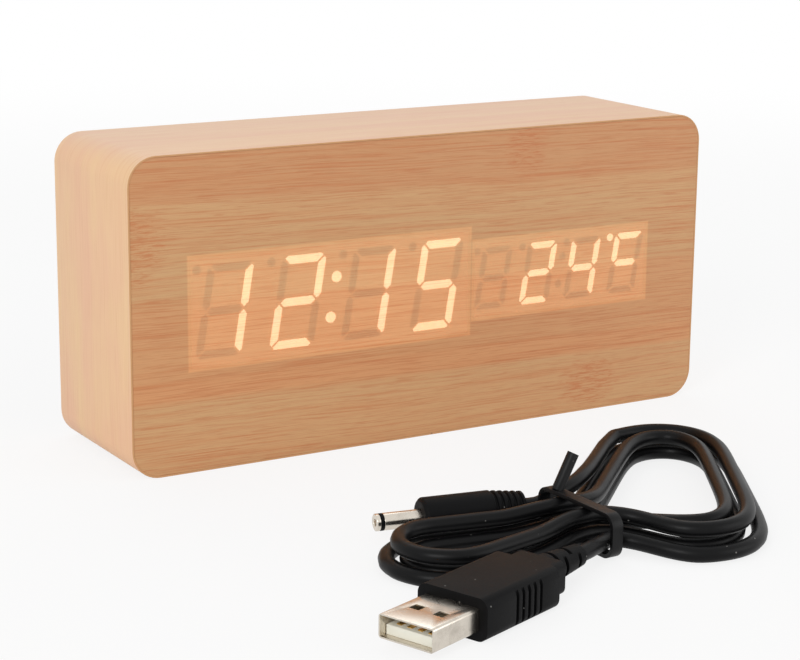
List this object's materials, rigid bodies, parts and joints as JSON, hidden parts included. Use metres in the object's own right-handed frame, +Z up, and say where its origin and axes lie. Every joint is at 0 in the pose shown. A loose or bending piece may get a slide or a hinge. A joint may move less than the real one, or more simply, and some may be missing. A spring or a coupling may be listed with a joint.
{
  "type": "digital alarm clock",
  "caption": "Wood-look box clock whose time and temperature digits glow through a thin grain film, with rear keys, sound switch, battery bay and a tied USB supply lead.",
  "frame": {"origin": "on the table, under the middle of the clock's box", "axes": "+X to the right as seen from the front, +Y towards the back (the display faces -Y), +Z up"},
  "size_m": [0.1512, 0.1574, 0.07],
  "materials": {
    "wood_pale": "satin printed film",
    "wood_front": "satin printed film",
    "fibreboard": "raw",
    "back_vinyl": "fine grain film",
    "zinc_screw": "zinc plated",
    "module_face": "matt",
    "segment_lit": "lit diffuser",
    "segment_unlit": "unlit diffuser",
    "tinned_pin": "tinned",
    "circuit_board": "solder mask",
    "nylon": "moulded",
    "chip_black": "moulded",
    "can_metal": "drawn can",
    "capacitor_sleeve": "shrunk sleeve",
    "switch_plastic": "moulded",
    "key_plastic": "moulded",
    "switch_can": "folded sheet",
    "tray_plastic": "fine spark texture",
    "spring_nickel": "nickel plated",
    "ribbon_grey": "ribbed",
    "red_insulation": "extruded",
    "black_insulation": "extruded",
    "cable_jacket": "extruded",
    "overmould": "fine spark texture",
    "plug_nickel": "nickel plated",
    "tongue_white": "moulded",
    "contact_gold": "gold flash",
    "tie_black": "coated wire"
  },
  "bodies": {
    "clock": {"side_wrap": "wood_pale", "front_film": "wood_front", "case_frame": "fibreboard", "front_board": "fibreboard", "corner_blocks": "fibreboard", "back_board": "fibreboard", "back_film": "back_vinyl", "back_screws": "zinc_screw", "board_screws": "zinc_screw", "key_screws": "zinc_screw", "time_module": "module_face", "temp_module": "module_face", "time_segments_lit": "segment_lit", "temp_segments_lit": "segment_lit", "time_segments_unlit": "segment_unlit", "temp_segments_unlit": "segment_unlit", "display_pins": "tinned_pin", "dc_socket_pin": "tinned_pin", "main_board": "circuit_board", "key_board": "circuit_board", "board_spacers": "nylon", "key_posts": "nylon", "ribbon_plugs": "nylon", "controller_chip": "chip_black", "driver_chip": "chip_black", "thermistor": "chip_black", "coin_cell_holder": "chip_black", "buzzer": "chip_black", "crystal": "can_metal", "coin_cell": "can_metal", "microphone": "can_metal", "capacitors": "capacitor_sleeve", "tact_switches": "switch_plastic", "dc_socket": "switch_plastic", "sound_switch_body": "switch_can", "battery_tray": "tray_plastic", "battery_springs": "spring_nickel", "battery_plates": "spring_nickel", "key_ribbon": "ribbon_grey", "wire_red": "red_insulation", "wire_black": "black_insulation"},
    "set_key": {"set_button": "key_plastic", "set_plunger": "switch_plastic"},
    "up_key": {"up_button": "key_plastic", "up_plunger": "switch_plastic"},
    "down_key": {"down_button": "key_plastic", "down_plunger": "switch_plastic"},
    "sound_knob": {"sound_slider": "switch_plastic"},
    "door": {"battery_door": "tray_plastic"},
    "lead": {"lead_cable": "cable_jacket", "usb_shell": "plug_nickel", "usb_tongue": "tongue_white", "usb_contacts": "contact_gold", "usb_overmould": "overmould", "dc_plug_barrel": "plug_nickel", "dc_plug_insulator": "overmould", "dc_plug_sleeve": "plug_nickel", "dc_plug_overmould": "overmould", "cable_tie": "tie_black"}
  },
  "joints": [
    {"name": "set_press", "type": "slide", "parent": "clock", "child": "set_key", "axis": [0, -1, 0], "range_m": [0, 0.0004], "stiffness_N_per_m": 500},
    {"name": "up_press", "type": "slide", "parent": "clock", "child": "up_key", "axis": [0, -1, 0], "range_m": [0, 0.0004], "stiffness_N_per_m": 500},
    {"name": "down_press", "type": "slide", "parent": "clock", "child": "down_key", "axis": [0, -1, 0], "range_m": [0, 0.0004], "stiffness_N_per_m": 500},
    {"name": "sound_slide", "type": "slide", "parent": "clock", "child": "sound_knob", "axis": [1, 0, 0], "range_m": [0, 0.002]},
    {"name": "door_hinge", "type": "hinge", "parent": "clock", "child": "door", "pos_m": [-0.0366, 0.0186, 0.0183], "axis": [-1, 0, 0], "range_deg": [0, 85]},
    {"name": "lead_move", "type": "slide", "parent": "clock", "child": "lead", "axis": [1, 0, 0], "range_m": [0, 0.1]}
  ]
}
